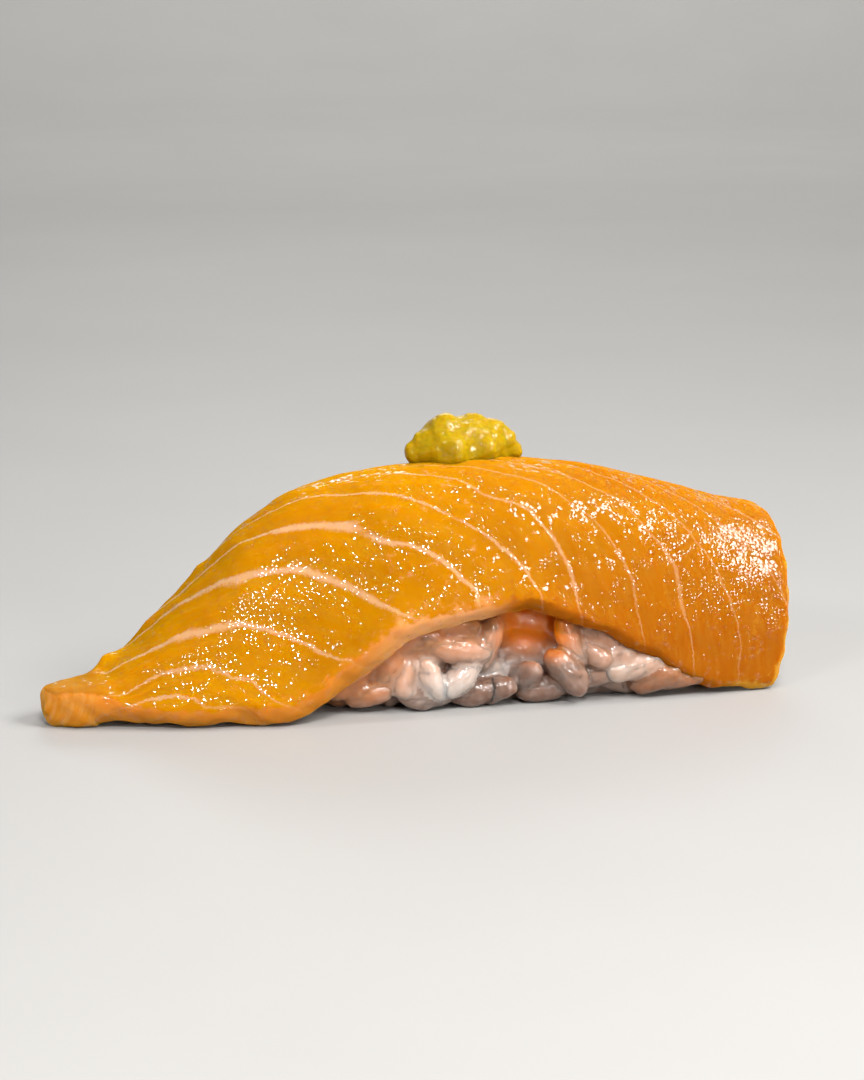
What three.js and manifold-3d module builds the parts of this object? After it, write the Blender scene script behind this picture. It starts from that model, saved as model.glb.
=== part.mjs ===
// Salmon nigiri: a finger of pressed sushi rice, a thick slice of raw salmon draped over it, and a dab
// of wasabi on the crest.
//
// Units are millimetres. X runs along the slice, from its pointed tail (-X) to its square-cut end (+X).
// The side with the arched opening that shows the rice faces -Y, and +Z is up. Everything rests on z = 0.
// The group is moved at the end so that its origin is the middle of the base of its bounding box.

import * as THREE from "three";
import { mergeVertices } from "three/addons/utils/BufferGeometryUtils.js";
import Module from "manifold-3d";

const wasm = await Module();
wasm.setup();

// ---------------------------------------------------------------- driving sizes

const tailX = -49.8; // tip of the tail
const endX = 34.9; // square-cut end
const wallGap = 0.45; // free space kept between neighbouring pieces

// The slice is described by stations along X. Each list holds [x, value] pairs, and a smooth curve
// runs through them.
const slice = {
  thickness: 4.7,
  tailTaper: 15, // distance from the tail's tip over which the slice reaches that thickness
  rimRadius: 1.1, // depth of the rounding along a cut edge
  rimPower: 3, // 2 gives a half-round edge, larger gives a blunter one
  taper: 8, // distance from an edge over which the thickness changes to that edge's own
  crestHandle: 0.68, // share of the half width over which the crest stays nearly level
  edgeHandle: 0.34, // the same for the slope at an edge
  crestZ: [
    [tailX, 4.1], [-45, 4.4], [-43, 4.9], [-40, 6.9], [-36, 10.9], [-31, 15.6], [-27, 19.3],
    [-20, 23.1], [-9, 25.7], [1, 26.1], [10, 25.3], [19, 23.2], [27, 20.8], [endX, 18.8],
  ],
  crestY: [[tailX, -7], [-45, -6.4], [-38, -2.6], [-28, 0], [0, 0], [endX, 1]],
  nearY: [
    [tailX, -8.6], [-46, -10.4], [-40, -12.4], [-33, -13.9], [-23, -15], [-12, -15],
    [2, -14], [12, -12.8], [21, -11.5], [endX, -9.6],
  ],
  nearZ: [
    [tailX, 4], [-44.5, 4.2], [-40, 2.3], [-33, 1.9], [-25, 2], [-18, 6.1], [-11.5, 10.6],
    [-6, 11.4], [2, 12.2], [11, 8.7], [21, 3.2], [27, 0.7], [endX, 0.3],
  ],
  nearSlope: [
    [tailX, 4], [-45, 6], [-40, 42], [-35, 48], [-26, 50], [-19, 46], [-13, 42],
    [-6, 50], [3, 62], [12, 74], [21, 80], [27, 84], [endX, 85],
  ],
  nearThickness: [
    [tailX, 4.2], [-45, 4.2], [-40, 3.5], [-26, 3.5], [-15, 3.8], [-4, 3.6], [8, 2.8],
    [20, 2.4], [endX, 2.6],
  ],
  farY: [
    [tailX, -4], [-45, -1.4], [-41, 2.4], [-36, 6.4], [-30, 9.6], [-22, 12], [-10, 13.2],
    [5, 13.2], [20, 11.8], [endX, 10.6],
  ],
  farZ: [
    [tailX, 3], [-45, 2.8], [-41, 2.3], [-36, 2], [-28, 1.9], [-20, 5], [-10, 9],
    [2, 10.4], [12, 8], [22, 4.2], [endX, 1.1],
  ],
  farSlope: [
    [tailX, 18], [-45, 28], [-41, 40], [-36, 48], [-28, 52], [-20, 54], [-10, 56],
    [2, 66], [12, 72], [22, 80], [endX, 84],
  ],
  farThickness: [[tailX, 3.6], [-40, 3.5], [-26, 3.5], [-10, 3.4], [10, 2.8], [endX, 2.6]],
  endTuck: { from: 16, edge: 2.9, crest: 1.3 }, // how the square-cut end draws back, and from where
};

const rice = {
  fromX: -24,
  toX: 29,
  halfWidth: 8.4, // of the core, without the grains that stand proud of it
  planPower: 3.2, // squareness of the block in plan
  footInset: 1.1, // the core narrows by this on each side towards its base
  grain: { length: 7.2, width: 3.3, depth: 2.9, clear: 0.15 }, // clear is kept below the lowest grains
  rows: 7, // of grains, from the base up
  rowHeight: 2.55,
  pitch: 5.4, // spacing of grains along a row
  shift: 0.45, // how far a grain strays from its even place, as a share of the spacing
  lean: 0.9, // steepest lean of a grain from level, in radians
  proud: 0.25, // how far the middle of a grain stands outside the core
  seed: 7,
};

const wasabi = {
  x: -1.5, // of its middle, which lies on the crest
  y: 1.7,
  crag: 0.1, // relief of its rough surface, as a share of a lump's radius
  lumps: [ // the lumps that it is heaped from: offset x, y, z from its middle, and radius
    [-2.1, 0, 1.6, 3.1], [0.9, 0, 1.5, 3], [-1.9, -1.6, 0.8, 2.6], [1.9, -1.8, 0.8, 1.9],
    [3.5, 0.2, 1.9, 1.9], [4.6, -0.1, 1.5, 1.35], [5.6, 0, 0.3, 1.15], [-4.1, -0.2, 1.5, 1.9],
    [-5.2, -0.3, 0.6, 1.55], [-0.7, 2, 0.6, 2.6], [2.6, 1.9, 0.4, 1.9],
  ],
};

// ---------------------------------------------------------------- small helpers

// A smooth curve through [x, value] pairs that never overshoots them.
function smoothCurve(points) {
  const rise = points.slice(1).map(([x, v], i) => (v - points[i][1]) / (x - points[i][0]));
  const slope = points.map((_, i) => {
    const a = rise[Math.max(i - 1, 0)];
    const b = rise[Math.min(i, rise.length - 1)];
    return a * b <= 0 ? 0 : (2 * a * b) / (a + b);
  });
  return (x) => {
    let i = points.findIndex((p) => p[0] > x) - 1;
    if (i < 0) i = x < points[0][0] ? 0 : points.length - 2;
    const [x0, v0] = points[i];
    const [x1, v1] = points[i + 1];
    const w = x1 - x0;
    const t = Math.min(Math.max((x - x0) / w, 0), 1);
    const s = 1 - t;
    return (
      s * s * ((1 + 2 * t) * v0 + t * w * slope[i]) +
      t * t * ((1 + 2 * s) * v1 - s * w * slope[i + 1])
    );
  };
}

const mix = (a, b, t) => a + (b - a) * t;
const smoothStep = (t) => t * t * (3 - 2 * t);
const clamp01 = (t) => Math.min(Math.max(t, 0), 1);
const radians = (degrees) => (degrees * Math.PI) / 180;

// Repeatable random numbers from 0 to 1.
function randomSource(seed) {
  let state = seed;
  return () => {
    state = (state * 1664525 + 1013904223) % 4294967296;
    return state / 4294967296;
  };
}

function solidFrom(geometry) {
  const bare = new THREE.BufferGeometry();
  bare.setAttribute("position", geometry.getAttribute("position").clone());
  if (geometry.index) bare.setIndex(geometry.index.clone());
  const merged = mergeVertices(bare, 1e-4);
  return new wasm.Manifold(
    new wasm.Mesh({
      numProp: 3,
      vertProperties: new Float32Array(merged.getAttribute("position").array),
      triVerts: new Uint32Array(merged.index.array),
    }),
  );
}

function geometryFrom(solid) {
  const { numProp, numVert, vertProperties, triVerts } = solid.getMesh();
  const position = new Float32Array(numVert * 3);
  for (let i = 0; i < numVert; i++) {
    position.set(vertProperties.subarray(i * numProp, i * numProp + 3), i * 3);
  }
  const geometry = new THREE.BufferGeometry();
  geometry.setAttribute("position", new THREE.BufferAttribute(position, 3));
  geometry.setIndex(new THREE.BufferAttribute(new Uint32Array(triVerts), 1));
  return geometry;
}

const largestPiece = (solid) =>
  solid.decompose().reduce((a, b) => (b.volume() > a.volume() ? b : a));

// ---------------------------------------------------------------- the salmon slice

const curves = Object.fromEntries(
  Object.entries(slice)
    .filter(([, value]) => Array.isArray(value))
    .map(([name, points]) => [name, smoothCurve(points)]),
);

// Half of a cross-section in the YZ plane, from the crest down to one edge. It leaves the crest level
// and reaches the edge at that side's own slope.
function halfSection(x, side) {
  const crest = new THREE.Vector2(curves.crestY(x), curves.crestZ(x));
  const edge = new THREE.Vector2(curves[side + "Y"](x), curves[side + "Z"](x));
  const slope = radians(curves[side + "Slope"](x));
  const across = edge.x - crest.x;
  const handle = crest.distanceTo(edge) * slice.edgeHandle;
  const fromCrest = new THREE.Vector2(crest.x + across * slice.crestHandle, crest.y);
  const toEdge = new THREE.Vector2(
    edge.x - Math.sign(across) * Math.cos(slope) * handle,
    edge.y + Math.sin(slope) * handle,
  );
  const curve = new THREE.CubicBezierCurve(crest, fromCrest, toEdge, edge);
  curve.arcLengthDivisions = 48;
  return curve;
}

// The slice's top surface at station x. share runs from -1 at the near edge to 1 at the far edge.
function topPoint(x, share, section) {
  const half = share < 0 ? section.near : section.far;
  const place = half.getPointAt(Math.min(Math.abs(share), 1));
  const { from, edge, crest } = slice.endTuck;
  const tuck = edge * Math.abs(share) ** 3.5 + crest * (1 - Math.abs(share)) ** 4;
  const drawn = smoothStep(clamp01((x - from) / (endX - from)));
  return new THREE.Vector3(x - tuck * drawn, place.x, place.y);
}

const sectionAt = (x) => ({ near: halfSection(x, "near"), far: halfSection(x, "far") });

// 0 at a cut edge, 1 once the full thickness is reached.
function rimShare(distance) {
  const inward = clamp01(1 - distance / slice.rimRadius);
  return (1 - inward ** slice.rimPower) ** (1 / slice.rimPower);
}

// Full thickness, changing towards an edge to that edge's own.
function thicknessAt(x, side, toEdge) {
  const grown = smoothStep(clamp01((x - tailX) / slice.tailTaper));
  const body = mix(curves.nearThickness(tailX), slice.thickness, grown);
  return mix(curves[side + "Thickness"](x), body, smoothStep(clamp01(toEdge / slice.taper)));
}

// Steps from one edge to the other: crowded in the rims, even between them.
function rimmedSteps(length, count) {
  const rim = [0, 0.04, 0.25, 1].map((r) => r * Math.min(slice.rimRadius, length * 0.3));
  const inner = rim[rim.length - 1];
  const steps = rim.slice(0, -1);
  for (let i = 0; i <= count; i++) steps.push(mix(inner, length - inner, i / count));
  return steps.concat(rim.slice(0, -1).reverse().map((r) => length - r));
}

// The slice as one closed skin. Both faces use the same grid and share the points of its outline.
function sliceGeometry(alongCount, acrossCount) {
  const nudge = 0.02; // step for finding the direction of the surface
  const xs = rimmedSteps(endX - tailX, alongCount).map((d) => tailX + d);
  const rows = xs.map((x) => {
    const section = sectionAt(x);
    const ahead = sectionAt(x + nudge);
    const nearLength = section.near.getLength();
    const farLength = section.far.getLength();
    const width = nearLength + farLength;
    return rimmedSteps(width, acrossCount).map((d) => {
      const share = d < nearLength ? d / nearLength - 1 : (d - nearLength) / farLength;
      const here = topPoint(x, share, section);
      const alongX = topPoint(x + nudge, share, ahead).sub(here);
      const nearer = topPoint(x, share - nudge, section);
      const acrossY = topPoint(x, share + nudge, section).sub(nearer);
      const normal = alongX.cross(acrossY).normalize();
      const edge = Math.min(d, width - d);
      const end = Math.min(x - tailX, endX - x);
      const full = thicknessAt(x, share < 0 ? "near" : "far", edge);
      const half = (full / 2) * rimShare(edge) * rimShare(end);
      const middle = here.addScaledVector(normal, -full / 2);
      return {
        top: middle.clone().addScaledVector(normal, half),
        bottom: middle.clone().addScaledVector(normal, -half),
      };
    });
  });

  const last = rows.length - 1;
  const lastAcross = rows[0].length - 1;
  const position = [];
  const topIndex = [];
  const bottomIndex = [];
  rows.forEach((row, i) => {
    topIndex.push([]);
    bottomIndex.push([]);
    row.forEach(({ top, bottom }, j) => {
      topIndex[i].push(position.length / 3);
      position.push(top.x, top.y, Math.max(top.z, 0));
      const outline = i === 0 || j === 0 || i === last || j === lastAcross;
      bottomIndex[i].push(outline ? topIndex[i][j] : position.length / 3);
      if (!outline) position.push(bottom.x, bottom.y, Math.max(bottom.z, 0));
    });
  });
  const index = [];
  const quad = (grid, i, j, up) => {
    const [a, b, c, d] = [grid[i][j], grid[i + 1][j], grid[i + 1][j + 1], grid[i][j + 1]];
    const throughA = i < last / 2 === j < lastAcross / 2; // the cut meets the grid's own corners
    const faces = throughA ? [a, b, c, a, c, d] : [a, b, d, b, c, d];
    index.push(...(up ? faces : faces.reverse()));
  };
  for (let i = 0; i < last; i++) {
    for (let j = 0; j < lastAcross; j++) {
      quad(topIndex, i, j, true);
      quad(bottomIndex, i, j, false);
    }
  }
  const geometry = new THREE.BufferGeometry();
  geometry.setAttribute("position", new THREE.Float32BufferAttribute(position, 3));
  geometry.setIndex(index);
  return geometry;
}

// The same skin, moved outwards: what is cut with it keeps clear of the slice.
function enlarged(geometry, distance) {
  const bigger = geometry.clone();
  bigger.computeVertexNormals();
  const position = bigger.getAttribute("position");
  const normal = bigger.getAttribute("normal");
  for (let i = 0; i < position.count; i++) {
    position.setXYZ(
      i,
      position.getX(i) + normal.getX(i) * distance,
      position.getY(i) + normal.getY(i) * distance,
      position.getZ(i) + normal.getZ(i) * distance,
    );
  }
  return bigger;
}

const sliceSkin = sliceGeometry(42, 13);
const sliceRoom = solidFrom(enlarged(sliceSkin, wallGap));

// ---------------------------------------------------------------- the rice

const riceMiddle = (rice.fromX + rice.toX) / 2;
const riceReach = (rice.toX - rice.fromX) / 2;

// A point of the block's outline in plan, a rounded rectangle. inset draws it in.
function outlinePoint(angle, inset = 0) {
  const rounded = (v) => Math.sign(v) * Math.abs(v) ** (2 / rice.planPower);
  return new THREE.Vector2(
    riceMiddle + (riceReach - inset) * rounded(Math.cos(angle)),
    (rice.halfWidth - inset) * rounded(Math.sin(angle)),
  );
}

// Height of the slice's middle layer over (x, y). The core runs up into it, and the slice then cuts
// it off.
function middleHeight(x, y) {
  const half = halfSection(x, y < curves.crestY(x) ? "near" : "far");
  const away = Math.abs(y - half.v0.x);
  const place = half.getPoints(40).find((p) => Math.abs(p.x - half.v0.x) >= away) ?? half.v3;
  return place.y - slice.thickness / 2;
}

// The block without its grains: walls that lean out from the foot, and a top that follows the slice.
function coreGeometry() {
  const stations = 22;
  const topSteps = 8;
  const lowest = 3; // height kept where the slice comes right down
  const rings = [];
  for (let i = 1; i < stations; i++) {
    const angle = Math.PI * (1 - i / stations);
    const wall = outlinePoint(angle);
    const foot = outlinePoint(angle, rice.footInset);
    const ring = [[foot.x, -foot.y, 0], [foot.x, foot.y, 0]];
    for (let k = 0; k <= topSteps; k++) {
      const y = mix(wall.y, -wall.y, k / topSteps);
      ring.push([wall.x, y, Math.max(middleHeight(wall.x, y), lowest)]);
    }
    rings.push(ring);
  }
  const size = rings[0].length;
  const position = rings.flat(2);
  const index = [];
  for (let i = 0; i < rings.length - 1; i++) {
    for (let k = 0; k < size; k++) {
      const a = i * size + k;
      const b = i * size + ((k + 1) % size);
      index.push(a, b, b + size, a, b + size, a + size);
    }
  }
  const lastRing = (rings.length - 1) * size;
  for (let k = 1; k < size - 1; k++) {
    index.push(k + 1, k, 0);
    index.push(lastRing, lastRing + k, lastRing + k + 1);
  }
  const geometry = new THREE.BufferGeometry();
  geometry.setAttribute("position", new THREE.Float32BufferAttribute(position, 3));
  geometry.setIndex(index);
  return geometry;
}

// One cooked grain lying at a place on the block's side, long axis along the wall, leaning at random.
function grainGeometry(place, outward, lean, random) {
  const { length, width, depth, clear } = rice.grain;
  const grow = mix(0.86, 1.1, random());
  const grain = new THREE.SphereGeometry(0.5, 6, 4);
  grain.scale(width * grow, length * grow, depth * grow);
  const wall = new THREE.Vector3(-outward.y, outward.x, 0);
  const longAxis = wall.multiplyScalar(Math.cos(lean)).add(new THREE.Vector3(0, 0, Math.sin(lean)));
  longAxis.addScaledVector(outward, mix(-0.45, 0.45, random())).normalize();
  const depthAxis = outward.clone().addScaledVector(longAxis, -outward.dot(longAxis)).normalize();
  const widthAxis = new THREE.Vector3().crossVectors(longAxis, depthAxis);
  const turn = new THREE.Matrix4().makeBasis(widthAxis, longAxis, depthAxis);
  grain.applyMatrix4(turn);
  grain.computeBoundingBox();
  const lowest = place.z + grain.boundingBox.min.z;
  grain.translate(place.x, place.y, place.z + Math.max(clear - lowest, 0));
  return grain;
}

// Height up to which grains can be seen below the slice's edge. It always takes in the lowest rows.
function sideRoof(x, side) {
  const edge = curves[(side < 0 ? "near" : "far") + "Z"](x);
  return Math.max(edge + rice.grain.depth / 2, rice.rowHeight * 1.6);
}

// Rows of grains round the block, wherever its side can be seen below the slice.
function riceGrains() {
  const random = randomSource(rice.seed);
  const corners = 96;
  const angles = Array.from({ length: corners + 1 }, (_, i) => (2 * Math.PI * i) / corners);
  const outline = new THREE.Path(angles.map((angle) => outlinePoint(angle)));
  const count = Math.round(outline.getLength() / rice.pitch);
  const grains = [];
  for (let row = 0; row < rice.rows; row++) {
    for (let i = 0; i < count; i++) {
      const share = (i + (row % 2) / 2 + random() * rice.shift) / count;
      const spot = outline.getPointAt(share % 1);
      const along = outline.getTangentAt(share % 1);
      const outward = new THREE.Vector3(along.y, -along.x, 0).normalize();
      const z = rice.grain.depth / 2 + rice.rowHeight * (row + (random() - 0.5) * rice.shift);
      const lean = mix(-rice.lean, rice.lean, random());
      const roof = outward.x > 0.5 ? middleHeight(spot.x, spot.y) : sideRoof(spot.x, outward.y);
      const place = new THREE.Vector3(spot.x, spot.y, z).addScaledVector(outward, rice.proud);
      if (z < roof) grains.push(grainGeometry(place, outward, lean, random));
    }
  }
  return grains;
}

const ricePieces = [coreGeometry(), ...riceGrains()].map(solidFrom);
const riceBlock = largestPiece(wasm.Manifold.union(ricePieces).subtract(sliceRoom));

// ---------------------------------------------------------------- the wasabi

// A rough ball: a sphere with shallow crags from crossed waves.
function roughBall(radius, columns, rows) {
  const ball = new THREE.SphereGeometry(1, columns, rows);
  const position = ball.getAttribute("position");
  for (let i = 0; i < position.count; i++) {
    const p = new THREE.Vector3().fromBufferAttribute(position, i);
    const wave =
      Math.sin(7.1 * p.x + 1.3) * Math.sin(6.3 * p.y + 0.4) +
      0.6 * Math.sin(11.9 * p.z + 4 * p.x) * Math.sin(9.7 * p.x - 5 * p.y);
    p.multiplyScalar(radius * (1 + wasabi.crag * wave));
    position.setXYZ(i, p.x, p.y, p.z);
  }
  return ball;
}

function wasabiSolid() {
  const { x, y, lumps } = wasabi;
  const balls = lumps.map(([dx, dy, dz, radius]) => {
    const ball = radius > 2.6 ? roughBall(radius, 8, 6) : roughBall(radius, 7, 5);
    ball.translate(x + dx, y + dy, curves.crestZ(x) + dz);
    return ball;
  });
  return largestPiece(wasm.Manifold.union(balls.map(solidFrom)).subtract(sliceRoom));
}

// ---------------------------------------------------------------- the whole piece

function finish(colour, roughness) {
  return new THREE.MeshStandardMaterial({ color: colour, roughness, metalness: 0 });
}

function piece(name, geometry, material) {
  const mesh = new THREE.Mesh(geometry, material);
  mesh.name = name;
  return mesh;
}

const nigiri = new THREE.Group();
nigiri.add(
  piece("salmon_slice", geometryFrom(solidFrom(sliceSkin)), finish(0xe5990f, 0.25)),
  piece("sushi_rice", geometryFrom(riceBlock), finish(0xe8dccb, 0.4)),
  piece("wasabi_dab", geometryFrom(wasabiSolid()), finish(0xcaa81c, 0.45)),
);

const box = new THREE.Box3().setFromObject(nigiri);
nigiri.position.set(-(box.min.x + box.max.x) / 2, -(box.min.y + box.max.y) / 2, -box.min.z);

export default nigiri;
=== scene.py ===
import math
import random

import bpy
import numpy as np
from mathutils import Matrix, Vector
from mathutils.bvhtree import BVHTree


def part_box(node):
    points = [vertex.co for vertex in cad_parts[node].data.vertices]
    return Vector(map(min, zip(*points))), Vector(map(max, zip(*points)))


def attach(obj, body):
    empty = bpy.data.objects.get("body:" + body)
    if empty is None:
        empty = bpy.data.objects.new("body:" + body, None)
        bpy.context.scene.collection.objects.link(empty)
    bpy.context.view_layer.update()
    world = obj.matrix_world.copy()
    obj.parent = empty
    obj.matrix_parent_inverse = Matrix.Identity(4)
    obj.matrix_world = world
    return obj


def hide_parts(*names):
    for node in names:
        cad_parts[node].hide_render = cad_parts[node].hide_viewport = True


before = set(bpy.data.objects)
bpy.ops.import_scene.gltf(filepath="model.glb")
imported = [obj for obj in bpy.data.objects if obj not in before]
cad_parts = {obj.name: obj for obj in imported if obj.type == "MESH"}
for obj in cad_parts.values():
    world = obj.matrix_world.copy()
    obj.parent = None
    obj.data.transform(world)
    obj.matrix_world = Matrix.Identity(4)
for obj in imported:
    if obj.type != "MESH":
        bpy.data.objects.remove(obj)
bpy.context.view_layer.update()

# Salmon nigiri. Shapes are worked out in millimetres: X along the slice from its tail, the arched
# opening with the rice towards -Y, Z up from the surface it stands on.

mm = 0.001


def rgb(hexText):  # sRGB hex to the linear values that the shaders work in
    parts = [int(hexText[i:i + 2], 16) / 255 for i in (1, 3, 5)]
    return [p / 12.92 if p <= 0.04045 else ((p + 0.055) / 1.055) ** 2.4 for p in parts] + [1]


def feed(tree, node, links):  # what each socket holds, or the socket that feeds it
    for socket, value in links.items():
        if isinstance(value, bpy.types.NodeSocket):
            tree.links.new(value, node.inputs[socket])
        else:
            node.inputs[socket].default_value = value


def add(tree, kind, links, **settings):
    # One shader node, with its settings and links. Some sockets go by number: Mix takes its share as 0 and
    # its colours as 6 and 7, Map Range its value as 0, the range it comes from as 1 and 2, and the new
    # range as 3 and 4, which is 0 to 1 unless it is given.
    node = tree.nodes.new("ShaderNode" + kind)
    for name, value in settings.items():
        setattr(node, name, value)
    feed(tree, node, links)
    return node


def newMaterial(name, finish):  # finish is what is the same all over the surface
    material = bpy.data.materials.new(name)
    material.use_nodes = True
    tree = material.node_tree
    tree.nodes.clear()
    shader = add(tree, "BsdfPrincipled", finish)
    add(tree, "OutputMaterial", {"Surface": shader.outputs[0]})
    inMm = add(tree, "VectorMath", {0: add(tree, "TexCoord", {}).outputs["Object"], "Scale": 1 / mm},
               operation="SCALE").outputs[0]
    return material, tree, shader, inMm


def wetFilm(tree, inMm, share, slack, height, size):
    # A wet film drawn into flat drops: their height in mm, and how many there are to the mm. share is
    # how many of them are full, slack how strongly the rest reflects. Gives the normal and the strength.
    drop = add(tree, "TexVoronoi", {"Vector": inMm, "Scale": size})
    fall = add(tree, "Math", {0: drop.outputs["Distance"], 1: 2.0}, operation="POWER").outputs[0]
    swell = add(tree, "TexNoise", {"Vector": inMm, "Scale": 0.9, "Detail": 1.0}).outputs[0]
    swell = add(tree, "Math", {0: swell, 1: 0.8}, operation="MULTIPLY").outputs[0]
    top = add(tree, "Math", {0: swell, 1: fall}, operation="SUBTRACT").outputs[0]
    film = add(tree, "Bump", {"Strength": 1.0, "Distance": height * mm, "Height": top}).outputs[0]
    # a drop is full by its own luck and where the film pools, in patches about a millimetre across
    luck = add(tree, "SeparateXYZ", {0: drop.outputs["Color"]}).outputs[0]
    pool = add(tree, "TexNoise", {"Vector": inMm, "Scale": 1.0, "Detail": 2.0, "Roughness": 0.6}).outputs[0]
    pool = add(tree, "MapRange", {0: pool, 1: 0.3, 2: 0.7, 3: 0.35, 4: -0.35}).outputs[0]
    luck = add(tree, "Math", {0: luck, 1: pool}, operation="ADD").outputs[0]
    full = add(tree, "Math", {0: share, 1: luck}, operation="SUBTRACT").outputs[0]
    wet = add(tree, "MapRange", {0: full, 1: -0.04, 2: 0.04, 3: slack}).outputs[0]
    return film, wet


def mix(a, b, t):
    return a + (b - a) * t


def smoothStep(t):
    t = np.clip(t, 0, 1)
    return t * t * (3 - 2 * t)


def ripple(points, wavelength, seed, waves=10):  # uneven relief, about one unit high
    draw = np.random.RandomState(seed)
    way = draw.normal(size=(waves, 3))
    way *= (draw.uniform(0.6, 1.5, waves) / np.linalg.norm(way, axis=1))[:, None]
    phase = draw.uniform(0, 2 * math.pi, waves)
    return np.sin(points @ way.T * (2 * math.pi / wavelength) + phase).sum(-1) / math.sqrt(waves)


def unevenness(points, ripples):  # several ripples together, each with its height, wavelength and seed
    return sum(height * ripple(points, wavelength, seed) for height, wavelength, seed in ripples)


def ringFaces(rings, around):  # quads between rings whose points follow one another
    faces = []
    for k in range(rings - 1):
        for i in range(around):
            j = (i + 1) % around
            faces.append([k * around + i, (k + 1) * around + i, (k + 1) * around + j, k * around + j])
    return faces


def smoothCurve(points):  # runs through [x, value] pairs and never overshoots them
    x, v = np.array(points, float).T
    rise = np.diff(v) / np.diff(x)
    before = np.concatenate([rise[:1], rise])
    after = np.concatenate([rise, rise[-1:]])
    same = before * after > 0
    slope = np.where(same, 2 * before * after / np.where(same, before + after, 1), 0)

    def value(at):
        i = np.clip(np.searchsorted(x, at, side="right") - 1, 0, len(x) - 2)
        width = x[i + 1] - x[i]
        t = np.clip((at - x[i]) / width, 0, 1)
        s = 1 - t
        return (s * s * ((1 + 2 * t) * v[i] + t * width * slope[i])
                + t * t * ((1 + 2 * s) * v[i + 1] - s * width * slope[i + 1]))

    return value


def meshObject(name, points, faces, material, **attributes):  # points in mm, before the shift
    mesh = bpy.data.meshes.new(name)
    mesh.from_pydata((points * mm + shift).tolist(), [], faces)
    for key, values in attributes.items():
        mesh.attributes.new(key, "FLOAT", "POINT").data.foreach_set("value", values.astype(np.float32))
    mesh.shade_smooth()
    mesh.materials.append(material)
    piece = bpy.data.objects.new(name, mesh)
    bpy.context.scene.collection.objects.link(piece)
    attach(piece, "root")
    return piece


# The topping: one slab, draped so that its near edge touches down at both ends and arches between.
# Each list holds [x, value] pairs. crest is the top line, near and far are the two long edges.

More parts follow.
